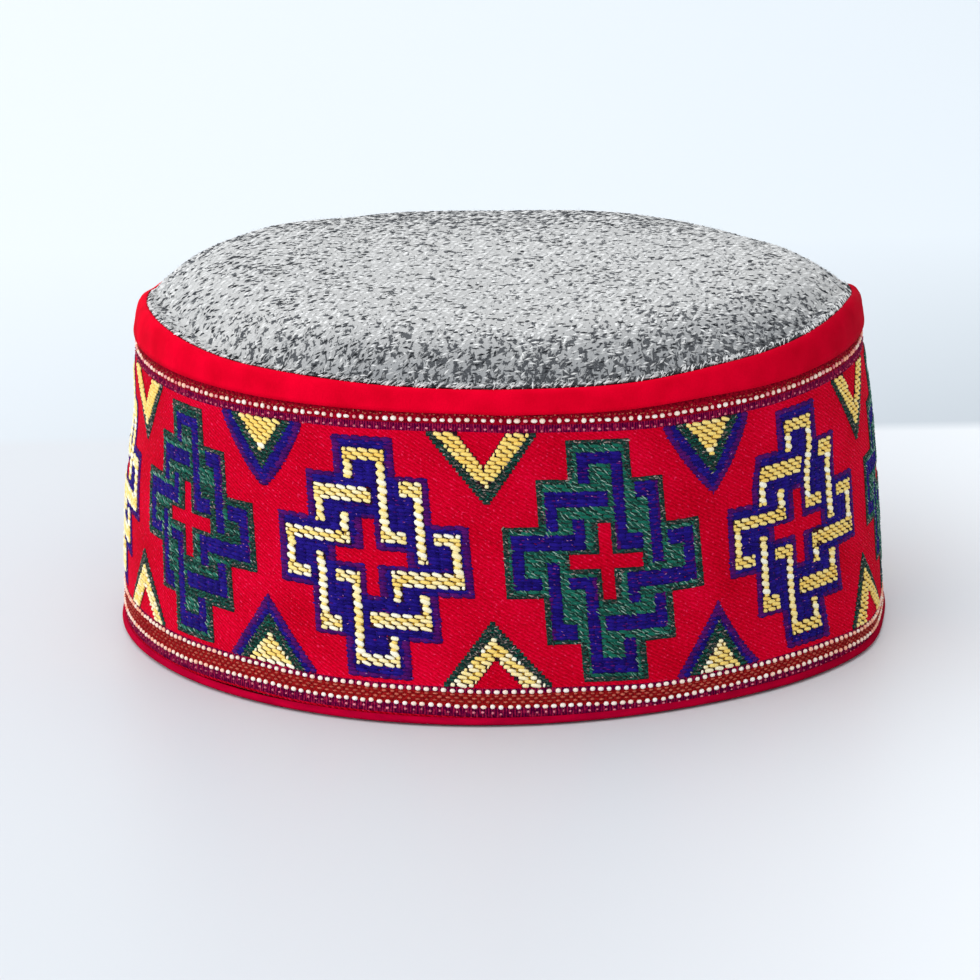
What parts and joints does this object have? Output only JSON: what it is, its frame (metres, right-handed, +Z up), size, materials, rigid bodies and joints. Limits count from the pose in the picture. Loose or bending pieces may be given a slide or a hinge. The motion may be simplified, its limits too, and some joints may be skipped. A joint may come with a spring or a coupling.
{
  "type": "himachali cap",
  "caption": "Round flat-bottomed himachali cap: grey tweed domed crown inside a patterned woven red cuff with a folded red strip at the rim and a red binding below",
  "frame": {"origin": "centre of the base, on the surface that the rim of the head opening stands on", "axes": "+Z up through the crown; the front that the picture shows faces -Y; +X is the cap's right-hand side in the picture"},
  "size_m": [0.1902, 0.1919, 0.0897],
  "materials": {
    "grey_tweed": "mottled wool tweed",
    "woven_pattern": "brocaded weave, matt ground with glossy floats",
    "red_strip": "smooth plain cloth"
  },
  "bodies": {
    "root": {"crown": "grey_tweed", "wool_wall": "grey_tweed", "woven_band": "woven_pattern", "top_strip": "red_strip", "bottom_binding": "red_strip"}
  },
  "joints": []
}
